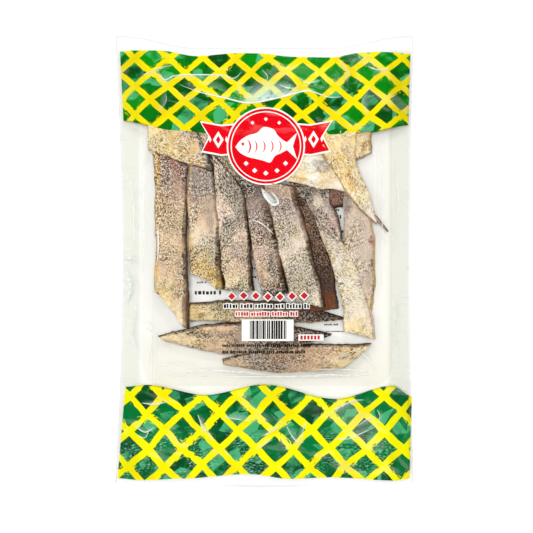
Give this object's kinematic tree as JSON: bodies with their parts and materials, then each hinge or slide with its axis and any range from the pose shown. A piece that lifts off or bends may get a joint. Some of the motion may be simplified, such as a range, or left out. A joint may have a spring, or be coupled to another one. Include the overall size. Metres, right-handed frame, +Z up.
{
  "type": "sealed bag of dried salted croaker",
  "caption": "Flat clear bag of dried salted croaker strips in a shallow tray, with printed green and yellow bands at both ends, lying on its back.",
  "frame": {"origin": "on the surface that the bag lies on, under the middle of the bag", "axes": "+X to the right of the printed front, +Y to the bag's top edge, +Z up out of the front"},
  "size_m": [0.2024, 0.306, 0.0139],
  "materials": {
    "film": "clear gloss film over the contents",
    "green_print": "gloss, printed on film",
    "yellow_print": "gloss, printed on film",
    "red_print": "gloss, printed on film",
    "fish": "dry, matte, finely scaled skin",
    "tray": "thin clear tray, nearly white over a white ground"
  },
  "bodies": {
    "root": {"bag": "film"}
  },
  "joints": []
}
